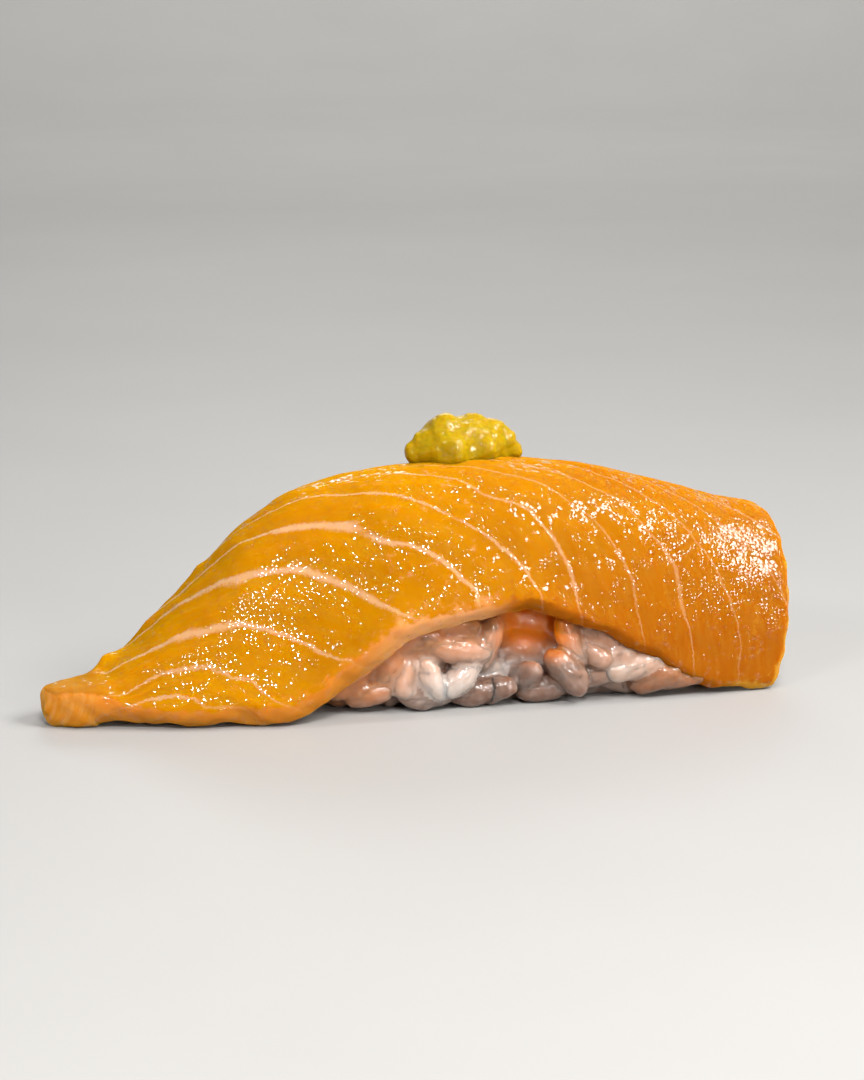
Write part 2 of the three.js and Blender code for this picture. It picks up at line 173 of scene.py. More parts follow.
tailX = -49.8
endX = 34.9
salmon = {
    "spacing": 0.36,  # of the mesh
    "thickness": 4.7, "tailTaper": 15,  # at its thickest, and how far the tail takes to get there
    "taper": 8,  # how far in from an edge it thins
    "rimRadius": 1.5, "rimPower": 2.3,  # rounding of the cut edges
    "crestHandle": 0.68, "edgeHandle": 0.34,  # how full the curve is from the crest to an edge
    "crestZ": [[tailX, 4.1], [-45, 4.4], [-43, 4.9], [-40, 6.9], [-36, 10.9], [-31, 15.6],
               [-27, 19.3], [-20, 23.1], [-9, 25.7], [1, 26.1], [10, 25.3], [19, 23.2], [27, 20.8],
               [endX, 18.8]],
    "crestY": [[tailX, -7], [-45, -6.4], [-38, -2.6], [-28, 0], [0, 0], [endX, 1]],
    "nearY": [[tailX, -8.6], [-46, -10.4], [-40, -12.4], [-33, -13.9], [-23, -15], [-12, -15],
              [2, -14], [12, -12.8], [21, -11.5], [endX, -9.6]],
    "nearZ": [[tailX, 4], [-44.5, 4.2], [-40, 2.3], [-33, 1.9], [-25, 2], [-18, 6.1],
              [-11.5, 10.6], [-6, 11.4], [2, 12.2], [11, 8.7], [21, 3.2], [27, 0.7], [endX, 0.3]],
    "nearSlope": [[tailX, 4], [-45, 6], [-40, 42], [-35, 48], [-26, 50], [-19, 46], [-13, 42],
                  [-6, 50], [3, 62], [12, 74], [21, 80], [27, 84], [endX, 85]],
    "nearThickness": [[tailX, 4.2], [-45, 4.2], [-40, 3.5], [-26, 3.5], [-15, 3.8], [-4, 3.6],
                      [8, 2.8], [20, 2.4], [endX, 2.6]],
    "farY": [[tailX, -4], [-45, -1.4], [-41, 2.4], [-36, 6.4], [-30, 9.6], [-22, 12],
             [-10, 13.2], [5, 13.2], [20, 11.8], [endX, 10.6]],
    "farZ": [[tailX, 3], [-45, 2.8], [-41, 2.3], [-36, 2], [-28, 1.9], [-20, 5], [-10, 9],
             [2, 10.4], [12, 8], [22, 4.2], [endX, 1.1]],
    "farSlope": [[tailX, 18], [-45, 28], [-41, 40], [-36, 48], [-28, 52], [-20, 54], [-10, 56],
                 [2, 66], [12, 72], [22, 80], [endX, 84]],
    "farThickness": [[tailX, 3.6], [-40, 3.5], [-26, 3.5], [-10, 3.4], [10, 2.8], [endX, 2.6]],
    # how the square-cut end draws back, and how sharply it does so at an edge and at the crest
    "endTuck": {"from": 16, "edge": 2.9, "crest": 1.3, "edgePower": 3.5, "crestPower": 4},
    # unevenness of the top, the underside and the cut edges: heights, wavelengths and seeds
    "topRipples": [[0.22, 15, 1], [0.077, 6, 2], [0.03, 2.2, 3]],
    "underRipples": [[0.12, 7, 4]],
    "cutRipples": [[0.165, 6.5, 5], [0.099, 2.3, 6], [0.0264, 0.9, 7]],
    "calm": 2.5,  # how far in from an edge the top and the underside reach their full unevenness
    "raggedReach": 3.5,  # how far in from a cut edge its raggedness is gone
    "groove": 0.15, "grooveReach": 1.5, "ridge": 0.05,  # the flesh sinks beside a line of fat
    "cutFrom": 0.72,  # share of the thickness from which the rounded edge counts as cut side
    # how much of the cut side's colour climbs over the edge of the arch, how far, and where along it
    "climb": {"share": 0.5, "reach": 3.2, "fromX": -30, "toX": 12, "fade": 8},
    "tailFaceX": -46, "tailFaceFade": 4,  # where the tail's own colours give way to the rest's
    "tailLumps": [[-43.6, 0.6, 0.5, 1.1], [-41.8, 1.6, 0.8, 1.2], [-37.4, 1.4, 0.3, 0.9],
                  [-31.6, 1.2, 0.3, 0.8]],  # x, distance past the crest, height, radius
    # the flesh and its blotches turn redder towards the square-cut end; low on the flank there a darker brown
    # is painted on as shade
    "colours": {"flesh": "#A66E00", "redder": "#9A5E06", "blotch": "#A06602", "redderBlotch": "#935506",
                "lowFlank": "#8C4A08", "fibres": "#9B6D23", "tail": "#7E5014", "fat": "#B48A62"},
    # past the middle of the arch the cut side is painted a darker brown, as shade
    "sideColours": {"left": "#AE6C24", "inArch": "#C08858", "pastArch": "#88490A", "atEnd": "#AA7A22",
                    "tail": "#B8741C", "layers": "#BE8640"},
}
curve = {name: smoothCurve(points) for name, points in salmon.items()
         if isinstance(points, list) and len(points[0]) == 2}

# Pale sheets of fat cross the slice from edge to edge. Each line holds [across, x] pairs, where
# across is the distance from the crest over the skin, negative towards the near edge. Then come
# half its width, how pale it is, where along it the line breaks off and starts again, and knots,
# where it thickens and steps aside.
seams = {
    "slant": 0.4,  # how far a sheet leans to +X for each mm of depth
    "wander": [[0.24, 9, 31], [0.09, 3, 32]],  # of a line's course: heights, wavelengths and seeds
    "fullest": -11, "fullReach": 9, "thin": 0.5,  # where a line is widest, and its ends' share of that
    "faint": 0.75,  # how pale its ends are beside its middle
    "uneven": [[0.3, 14, 33]],  # of its width, as a share
    "knotReach": 0.5, "knotSwell": 2.2, "knotSwellReach": 0.6,  # its step aside, and its thickening
    "breakFade": 0.85,  # how much of the paleness goes where a line breaks off
    "apartFrom": 0.28, "apartOver": 0.14,  # nothing shows halfway between two lines
    "edgeFade": 2.2, "atEdge": 0.2,  # a line fades just short of a cut edge, to this share
    "tailEnd": -44.5, "tailFade": 2,  # and before the tail
    "underPale": 0.3,  # how pale it is on the underside
    "lines": [
        {"points": [[-24, -28], [-18.9, -31.8], [-14.8, -34.9], [-12.3, -37], [-10.5, -38.8], [-8, -42],
                    [0, -50], [20, -70]], "half": 0.16, "pale": 0.8},
        {"points": [[-25.8, -23.3], [-22.9, -26], [-17.9, -29.5], [-13.2, -33.1], [-9.2, -37.3],
                    [-7.1, -40.5], [-4, -45], [0, -48], [20, -66]], "half": 0.15, "pale": 0.75},
        {"points": [[-23.6, -17.1], [-20.5, -20.7], [-16.7, -24.4], [-12.3, -29.5], [-7.7, -34.6],
                    [-2.6, -40.5], [0, -43.5], [20, -60]],
         "half": 0.26, "pale": 0.95, "knots": [[-7.9, 0.16]]},
        {"points": [[-21.8, -10], [-17.8, -14.7], [-14.4, -18.2], [-11.9, -21.4], [-10, -24.8],
                    [-8.6, -27.8], [-6.2, -30.6], [-1.6, -35.8], [0, -38], [8, -47], [20, -55]],
         "half": 0.28, "pale": 1, "knots": [[-8.5, 0.3]]},
        {"points": [[-19.3, -3.3], [-15.8, -6.3], [-13.6, -9.4], [-12.1, -12.5], [-10.4, -14.6],
                    [-8.3, -17.7], [-6.4, -22], [-4.6, -26], [-3, -29.5], [0, -34.5], [8, -43], [20, -50]],
         "half": 0.29, "pale": 1, "break": [-10.2, 0.9],
         "knots": [[-8.6, 0.3], [-6.2, -0.2]]},
        {"points": [[-20.2, 3.6], [-16.1, 1.6], [-12.8, -2.1], [-9.6, -6.8], [-7.3, -10.4],
                    [-5.4, -14], [-3.4, -18.8], [-2.1, -23.6], [0, -28.5], [7, -38], [20, -45]],
         "half": 0.2, "pale": 0.8, "break": [-10.8, 0.7]},
        {"points": [[-20.3, 8.4], [-16.1, 7.5], [-12.8, 5.6], [-10.2, 2.8], [-8.7, -0.7],
                    [-6.1, -3.6], [-3.9, -8], [-1.5, -14], [0, -18], [6, -29], [20, -37]],
         "half": 0.2, "pale": 0.65},
        {"points": [[-22.8, 15.6], [-17.6, 15.1], [-13.9, 13.4], [-11.4, 11.8], [-8.7, 8.4],
                    [-6.4, 5], [-5.4, 2.4], [-2.5, -5], [0, -10], [6, -20], [20, -27]],
         "half": 0.18, "pale": 0.38},
        {"points": [[-24.1, 22.4], [-18.9, 21.3], [-13.8, 19.9], [-10.4, 17.4], [-7.3, 14.3],
                    [-5.8, 11], [-4.2, 7.5], [-2, 1.5], [0, -3], [6, -12], [20, -19]],
         "half": 0.18, "pale": 0.42},
        {"points": [[-23, 29.1], [-17.6, 27.9], [-13.6, 26.2], [-10, 23.9], [-7.3, 21.2],
                    [-5.4, 18], [-2.5, 11], [0, 6], [6, -3], [20, -10]], "half": 0.18, "pale": 0.36},
        {"points": [[-23, 36.5], [-14, 34], [-9, 30.5], [-5, 25], [-2, 18.5], [0, 14.5], [6, 6],
                    [20, -1]], "half": 0.16, "pale": 0.35},
        {"points": [[-23, 45], [-12, 41], [-6.5, 34.5], [-3, 28.5], [0, 22.5], [6, 14.5], [20, 8]],
         "half": 0.16, "pale": 0.35},
        {"points": [[-23, 53], [-8, 45], [-3, 36.5], [0, 31], [6, 23], [20, 17]],
         "half": 0.2, "pale": 0.4},
        {"points": [[-23, 61], [-6, 50], [0, 39], [6, 31], [20, 26]], "half": 0.2, "pale": 0.5},
        {"points": [[-23, 70], [-6, 59], [0, 48], [8, 38], [20, 34]], "half": 0.2, "pale": 0.5},
    ],
}


def halfSections(x, side, steps=160):  # from the crest down to one edge, one row for each station
    crest = np.stack([curve["crestY"](x), curve["crestZ"](x)], -1)
    edge = np.stack([curve[side + "Y"](x), curve[side + "Z"](x)], -1)
    slope = np.radians(curve[side + "Slope"](x))
    across = edge[:, 0] - crest[:, 0]
    handle = np.linalg.norm(edge - crest, axis=1) * salmon["edgeHandle"]
    fromCrest = crest + np.stack([across * salmon["crestHandle"], 0 * across], -1)
    toEdge = edge + np.stack([-np.sign(across) * np.cos(slope) * handle, np.sin(slope) * handle], -1)
    t = np.linspace(0, 1, steps + 1)[None, :, None]
    s = 1 - t
    knots = [p[:, None, :] for p in (crest, fromCrest, toEdge, edge)]
    points = s**3 * knots[0] + 3 * s * s * t * knots[1] + 3 * s * t * t * knots[2] + t**3 * knots[3]
    pieces = np.linalg.norm(np.diff(points, axis=1), axis=2)
    return points, np.concatenate([np.zeros((len(x), 1)), np.cumsum(pieces, axis=1)], axis=1)


rimShares = np.array([0, 0.12, 0.25, 0.38, 0.5, 0.62, 0.73, 0.83, 0.91, 0.97])  # of the full thickness


def rimmedSteps(length, count):  # crowded round the rims, even between them: distances and shares
    power = salmon["rimPower"]
    rim = salmon["rimRadius"] * (1 - (1 - rimShares**power) ** (1 / power))
    inner = np.linspace(salmon["rimRadius"], length - salmon["rimRadius"], count + 1)
    steps = np.concatenate([rim, inner, length - rim[::-1]])
    share = np.concatenate([rimShares, np.ones(count + 1), rimShares[::-1]])
    return steps, share


def seamField(x, across, depth):
    # Signed distance to the nearest line of fat, its half width and paleness, and a coordinate that
    # grows by one from each line to the next.
    leaned = x - seams["slant"] * depth
    wander = unevenness(np.stack([leaned, across, 0 * x], -1), seams["wander"])
    lineX, signed = [], []
    for line in seams["lines"]:
        path = smoothCurve(line["points"])
        at = path(across)
        for place, aside in line.get("knots", []):
            at = at + aside * np.exp(-(((across - place) / seams["knotReach"]) ** 2))
        lean = (path(across + 0.2) - path(across - 0.2)) / 0.4
        lineX.append(at)
        signed.append((leaned - at + wander) / np.sqrt(1 + lean**2))
    lineX, signed = np.array(lineX), np.array(signed)
    nearest = np.argmin(np.abs(signed), axis=0)
    distance = np.take_along_axis(signed, nearest[None], 0)[0]
    half = np.array([line["half"] for line in seams["lines"]])[nearest]
    pale = np.array([line["pale"] for line in seams["lines"]])[nearest]
    for i, line in enumerate(seams["lines"]):
        for place, aside in line.get("knots", []):
            swell = np.exp(-(((across - place) / seams["knotSwellReach"]) ** 2))
            half = np.where(nearest == i, half * (1 + seams["knotSwell"] * abs(aside) * swell), half)
        if "break" in line:
            middle, reach = line["break"]
            gap = 1 - smoothStep(np.abs(across - middle) / reach)
            pale = np.where(nearest == i, pale * (1 - seams["breakFade"] * gap), pale)
    first, second = np.sort(np.abs(signed), axis=0)[:2]
    pale = pale * (1 - smoothStep((first / (first + second) - seams["apartFrom"]) / seams["apartOver"]))
    uneven = unevenness(np.stack([x, across, 0 * x], -1), seams["uneven"])
    fullest = np.exp(-(((across - seams["fullest"]) / seams["fullReach"]) ** 2))
    half = half * mix(seams["thin"], 1, fullest) * (1 + uneven)
    pale = pale * mix(seams["faint"], 1, fullest) * smoothStep((x - seams["tailEnd"]) / seams["tailFade"])
    below = np.clip((lineX < leaned).sum(axis=0) - 1, 0, len(lineX) - 2)
    low = np.take_along_axis(lineX, below[None], 0)[0]
    high = np.take_along_axis(lineX, below[None] + 1, 0)[0]
    return distance, half, pale, below + (leaned - low) / (high - low)


# The flesh is wet with its own oil, in drifts and along the lines of fat.
oil = {
    "background": 0.1,
    "drifts": [  # x, place across, reach along x and across, how wet
        [-26, -15, 5, 5, 0.65], [-31, -12, 6, 3, 0.35], [-19, -13, 6, 3, 0.4], [-36, -9, 5, 2, 0.2],
        [-12, -7, 6, 3, 0.12], [-5, -5, 5, 3, 0.15], [4, -5, 6, 3, 0.3], [12, -7, 5, 3, 0.45],
        [20, -8, 5, 4, 0.5], [30, -9, 6, 7, 1.0], [24, -17, 5, 4, 0.25], [14, -16, 5, 3, 0.1],
    ],
    "beside": 0.6, "besideAt": 0.3, "besideReach": 0.4,  # along one side of each line of fat
    "farDry": 0.7, "farFrom": -1, "farOver": 4,  # how much drier it is past the crest
    "clumps": [[1, 6, 71]], "driest": 0.5, "wettest": 1.1,  # it gathers in clumps
    "under": 0.2,  # on the underside
}


def wetShare(x, across, distance, pale):
    share = oil["background"] + 0 * x
    for middle, place, alongX, acrossIt, amount in oil["drifts"]:
        share += amount * np.exp(-(((x - middle) / alongX) ** 2) - ((across - place) / acrossIt) ** 2)
    share += oil["beside"] * pale * np.exp(-(((distance - oil["besideAt"]) / oil["besideReach"]) ** 2))
    share *= 1 - oil["farDry"] * smoothStep((across - oil["farFrom"]) / oil["farOver"])
    clumped = unevenness(np.stack([x, across, 0 * x], -1), oil["clumps"])
    return np.clip(share * mix(oil["driest"], oil["wettest"], smoothStep((clumped + 0.8) / 1.6)), 0, 1)


def sliceShape():
    xs, endShare = rimmedSteps(endX - tailX, int((endX - tailX) / salmon["spacing"]))
    xs = xs + tailX
    near, nearLength = halfSections(xs, "near")
    far, farLength = halfSections(xs, "far")
    width = nearLength[:, -1] + farLength[:, -1]
    count = int(width.max() / salmon["spacing"])
    steps = [rimmedSteps(w, count) for w in width]
    d = np.array([s[0] for s in steps])
    edgeShare = steps[0][1][None, :]
    across = d - nearLength[:, -1:]
    skin = np.empty(d.shape + (3,))
    for i, x in enumerate(xs):
        isNear = across[i] < 0
        for half, length, chosen in ((near, nearLength, isNear), (far, farLength, ~isNear)):
            along = np.abs(across[i, chosen])
            for axis in (0, 1):
                skin[i, chosen, axis + 1] = np.interp(along, length[i], half[i, :, axis])
    share = np.where(across < 0, -across / nearLength[:, -1:], across / farLength[:, -1:])
    tuck = salmon["endTuck"]
    drawn = smoothStep((xs - tuck["from"]) / (endX - tuck["from"]))[:, None]
    back = tuck["edge"] * share ** tuck["edgePower"] + tuck["crest"] * (1 - share) ** tuck["crestPower"]
    skin[..., 0] = xs[:, None] - back * drawn

    alongX = np.gradient(skin, axis=0)
    acrossY = np.gradient(skin, axis=1)
    normal = np.cross(alongX, acrossY)
    normal /= np.linalg.norm(normal, axis=2, keepdims=True)
    outY = acrossY / np.linalg.norm(acrossY, axis=2, keepdims=True)
    outX = alongX / np.linalg.norm(alongX, axis=2, keepdims=True)

    toEdge = np.minimum(d, width[:, None] - d)
    toEnd = np.minimum(xs - tailX, endX - xs)[:, None] + 0 * d
    grown = smoothStep((xs - tailX) / salmon["tailTaper"])[:, None]
    body = mix(curve["nearThickness"](tailX), salmon["thickness"], grown)
    own = np.where(across < 0, curve["nearThickness"](xs)[:, None], curve["farThickness"](xs)[:, None])
    full = mix(own, body, smoothStep(toEdge / salmon["taper"]))
    share = edgeShare * endShare[:, None]
    half = full / 2 * share

    stationX = xs[:, None] + 0 * d
    distance, seamHalf, pale, phase = seamField(stationX, across, full / 2 - half)
    pale = pale * mix(seams["atEdge"], 1, smoothStep(toEdge / seams["edgeFade"]))
    inward = smoothStep(np.minimum(toEdge, toEnd) / salmon["calm"])
    relief = unevenness(skin, salmon["topRipples"])
    relief -= salmon["groove"] * pale * np.exp(-((distance / salmon["grooveReach"]) ** 2))
    relief += salmon["ridge"] * pale * np.exp(-((distance / seamHalf) ** 2))
    for x, past, height, radius in salmon["tailLumps"]:
        away = (stationX - x) ** 2 + (across - past) ** 2
        relief += height * np.exp(-away / radius**2)
    middle = skin - normal * full[..., None] / 2
    top = middle + normal * (half + relief * inward)[..., None]
    bottom = middle - normal * (half + unevenness(skin, salmon["underRipples"]) * inward)[..., None]
    sideOut = np.sign(across)[..., None] * outY * (1 - smoothStep(toEdge / salmon["raggedReach"]))[..., None]
    endOut = np.sign(stationX)[..., None] * outX * (1 - smoothStep(toEnd / salmon["raggedReach"]))[..., None]
    for layer in (top, bottom):
        layer += (sideOut + endOut) * unevenness(layer, salmon["cutRipples"])[..., None]
        layer[..., 2] = np.maximum(layer[..., 2], 0)

    rows, columns = d.shape
    outline = np.zeros((rows, columns), bool)
    outline[[0, -1], :] = True
    outline[:, [0, -1]] = True
    topIndex = np.arange(rows * columns).reshape(rows, columns)
    bottomIndex = topIndex.copy()
    bottomIndex[~outline] = rows * columns + np.arange((~outline).sum())

    def quads(index, up):
        corners = [index[:-1, :-1], index[1:, :-1], index[1:, 1:], index[:-1, 1:]]
        corners = corners if up else corners[::-1]
        return np.stack(corners, -1).reshape(-1, 4)

    points = np.concatenate([top.reshape(-1, 3), bottom[~outline]])
    faces = np.concatenate([quads(topIndex, True), quads(bottomIndex, False)])
    side = 1 - smoothStep((share - salmon["cutFrom"]) / (1 - salmon["cutFrom"]))
    climb = salmon["climb"]
    overEdge = (across < 0) * (1 - smoothStep(toEdge / climb["reach"]))
    here = smoothStep((stationX - climb["fromX"]) / climb["fade"])
    here = here * (1 - smoothStep((stationX - climb["toX"]) / climb["fade"]))
    side = np.maximum(side, climb["share"] * overEdge * here)
    deep = seamField(stationX, across, full / 2 + half)
    ofTail = 1 - smoothStep((stationX - salmon["tailFaceX"]) / salmon["tailFaceFade"])

    def both(upper, lower):
        return np.concatenate([(upper + 0 * d).ravel(), (lower + 0 * d)[~outline]])

    fields = {
        "seam": both(distance, deep[0]),
        "seamHalf": both(seamHalf, deep[1]),
        "seamPale": both(pale, deep[2] * seams["underPale"]),
        "fibre": both(phase, deep[3]),
        "across": both(across, across),
        "depth": both(full / 2 - half, full / 2 + half),
        "cutSide": both(side, side),
        "wet": both(wetShare(stationX, across, distance, pale), oil["under"]),
        "tail": both(ofTail, ofTail),
    }
    skinFaces = np.arange((rows - 1) * (columns - 1)).reshape(rows - 1, columns - 1)
    rim = len(rimShares)
    return points, faces, fields, set(skinFaces[rim:-rim, rim:-rim].ravel().tolist())


slicePoints, sliceFaces, sliceFields, topFaces = sliceShape()
shift = np.array(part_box("salmon_slice")[0]) - slicePoints.min(axis=0) * mm
shift[2] = 0
print("slice", len(slicePoints), "points, moved by", shift / mm)


def rawSalmon():
    # Raw salmon, cut with a wet knife: translucent yellow-orange flesh under a thin film of its own
    # oil. Light goes millimetres deep, so shadows fill in and thin edges glow, and the film breaks
    # every highlight into small white glints.
    material, tree, shader, inMm = newMaterial("raw_salmon_knife_cut", {
        "IOR": 1.38, "Specular IOR Level": 0.0, "Coat Roughness": 0.03, "Coat IOR": 1.47,
        "Subsurface Weight": 1.0, "Subsurface Radius": (1.0, 0.5, 0.12), "Subsurface Scale": 2.4 * mm,
    })
    tint = {name: rgb(colour) for name, colour in salmon["colours"].items()}
    sideTint = {name: rgb(colour) for name, colour in salmon["sideColours"].items()}
    field = {name: add(tree, "Attribute", {}, attribute_name=name).outputs["Fac"] for name in sliceFields}

    # lines of fat: distance to the seam, with frayed edges 0.2 to 0.5 mm across
    fray = add(tree, "TexNoise", {"Vector": inMm, "Scale": 2.6, "Detail": 3.0, "Roughness": 0.7}).outputs[0]
    frayed = add(tree, "MapRange", {0: fray, 1: 0.25, 2: 0.75, 3: -0.17, 4: 0.17}).outputs[0]
    moved = add(tree, "Math", {0: field["seam"], 1: frayed}, operation="ADD").outputs[0]
    off = add(tree, "Math", {0: moved}, operation="ABSOLUTE").outputs[0]
    ratio = add(tree, "Math", {0: off, 1: field["seamHalf"]}, operation="DIVIDE").outputs[0]
    line = add(tree, "MapRange", {0: ratio, 1: 1.5, 2: 0.3}, interpolation_type="SMOOTHSTEP").outputs[0]
    line = add(tree, "Math", {0: line, 1: field["seamPale"]}, operation="MULTIPLY").outputs[0]

    # flesh: blotches about 8 mm across, painted shade low on the flank, and muscle fibres that run along the
    # seams
    blotch = add(tree, "TexNoise", {"Vector": inMm, "Scale": 0.12, "Detail": 3.0}).outputs[0]
    blotch = add(tree, "MapRange", {0: blotch, 1: 0.35, 2: 0.65}).outputs[0]
    placeX, _, placeZ = add(tree, "SeparateXYZ", {0: inMm}).outputs
    redder = add(tree, "MapRange", {0: placeX, 1: -6, 2: 24}, interpolation_type="SMOOTHSTEP").outputs[0]
    flesh = add(tree, "Mix", {0: redder, 6: tint["flesh"], 7: tint["redder"]}, data_type="RGBA").outputs[2]
    deeper = add(tree, "Mix", {0: redder, 6: tint["blotch"], 7: tint["redderBlotch"]},
                 data_type="RGBA").outputs[2]
    flesh = add(tree, "Mix", {0: blotch, 6: flesh, 7: deeper}, data_type="RGBA").outputs[2]
    # painted shade: lower down the flank, and more so towards the square-cut end, the flesh is mixed towards
    # a darker brown
    low = add(tree, "MapRange", {0: placeZ, 1: 19, 2: 6, 4: 0.85}).outputs[0]
    low = add(tree, "Math", {0: low, 1: redder}, operation="MULTIPLY").outputs[0]
    along = add(tree, "CombineXYZ", {0: field["fibre"], 1: field["across"], 2: field["depth"]}).outputs[0]
    stretched = add(tree, "VectorMath", {0: along, 1: (9.0, 0.32, 0.5)}, operation="MULTIPLY").outputs[0]
    streak = add(tree, "TexNoise", {"Vector": stretched, "Scale": 1.0, "Detail": 3.0}).outputs[0]
    streak = add(tree, "MapRange", {0: streak, 1: 0.4, 2: 0.75, 4: 0.25}).outputs[0]
    dull = add(tree, "Math", {0: field["tail"], 1: 0.8}, operation="MULTIPLY").outputs[0]
    for share, name in ((low, "lowFlank"), (streak, "fibres"), (dull, "tail")):
        flesh = add(tree, "Mix", {0: share, 6: flesh, 7: tint[name]}, data_type="RGBA").outputs[2]

    # cut sides: duller and browner, with layers that curve through the thickness, and painted shade, a darker
    # brown, from the middle of the arch on
    bend = add(tree, "Math", {0: field["depth"], 1: 2.0}, operation="POWER").outputs[0]
    bend = add(tree, "Math", {0: bend, 1: 0.12}, operation="MULTIPLY").outputs[0]
    bend = add(tree, "CombineXYZ", {0: bend}).outputs[0]
    layered = add(tree, "VectorMath", {0: inMm, 1: (1.5, 0.25, 0.25)}, operation="MULTIPLY").outputs[0]
    layered = add(tree, "VectorMath", {0: layered, 1: bend}, operation="ADD").outputs[0]
    layers = add(tree, "TexNoise", {"Vector": layered, "Scale": 1.0, "Detail": 3.0,
                                    "Distortion": 0.3}).outputs[0]
    layers = add(tree, "MapRange", {0: layers, 1: 0.4, 2: 0.62, 4: 0.8}).outputs[0]
    layers = add(tree, "Math", {0: layers, 1: field["tail"]}, operation="MULTIPLY").outputs[0]
    toArch = add(tree, "MapRange", {0: placeX, 1: -10, 2: -2}, interpolation_type="SMOOTHSTEP").outputs[0]
    # painted shade: past the middle of the arch the cut side turns a darker brown
    pastArch = add(tree, "MapRange", {0: placeX, 1: 4, 2: 9}, interpolation_type="SMOOTHSTEP").outputs[0]
    atEnd = add(tree, "MapRange", {0: placeX, 1: 31, 2: 37}, interpolation_type="SMOOTHSTEP").outputs[0]
    side = sideTint["left"]
    for share, name in ((toArch, "inArch"), (pastArch, "pastArch"), (atEnd, "atEnd"),
                        (field["tail"], "tail"), (layers, "layers")):
        side = add(tree, "Mix", {0: share, 6: side, 7: sideTint[name]}, data_type="RGBA").outputs[2]
    torn = add(tree, "TexNoise", {"Vector": inMm, "Scale": 0.8, "Detail": 4.0, "Roughness": 0.6}).outputs[0]
    torn = add(tree, "MapRange", {0: torn, 1: 0.3, 2: 0.7, 3: -0.45, 4: 0.45}).outputs[0]
    torn = add(tree, "Math", {0: field["cutSide"], 1: torn}, operation="ADD").outputs[0]
    sideShare = add(tree, "MapRange", {0: torn, 1: 0.15, 2: 0.75, 4: 0.85},
                    interpolation_type="SMOOTHSTEP").outputs[0]
    ofTail = add(tree, "Math", {0: field["tail"], 1: 0.25}, operation="MULTIPLY").outputs[0]
    sideShare = add(tree, "Math", {0: sideShare, 1: ofTail}, operation="MAXIMUM").outputs[0]
    flesh = add(tree, "Mix", {0: sideShare, 6: flesh, 7: side}, data_type="RGBA").outputs[2]

    colour = add(tree, "Mix", {0: line, 6: flesh, 7: tint["fat"]}, data_type="RGBA").outputs[2]

    # the oily film: it covers the flesh in flat drops, more of them the wetter it is
    film, wet = wetFilm(tree, inMm, field["wet"], 0.008, 0.065, 2.05)
    soft = add(tree, "Bump", {"Strength": 0.6, "Distance": 0.06 * mm, "Height": streak}).outputs[0]
    rough = add(tree, "MapRange", {0: blotch, 3: 0.3, 4: 0.42}).outputs[0]
    feed(tree, shader, {"Base Color": colour, "Roughness": rough, "Normal": soft,
                        "Coat Weight": wet, "Coat Normal": film})
    return material


slicePiece = meshObject("salmonTopping", slicePoints, sliceFaces.tolist(), rawSalmon(), **sliceFields)
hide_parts("salmon_slice")

sliceTree = BVHTree.FromPolygons(slicePoints.tolist(), sliceFaces.tolist())


def undersideAt(x, y):  # height of the slice's underside over a point, or None past its edges
    hit = sliceTree.ray_cast(Vector((x, y, -1)), Vector((0, 0, 1)))[0]
    return None if hit is None else hit.z


# The rice: a pressed finger of cooked short grain. Grains lie in rows round a bumpy core, and those
# at the arch are set one by one.

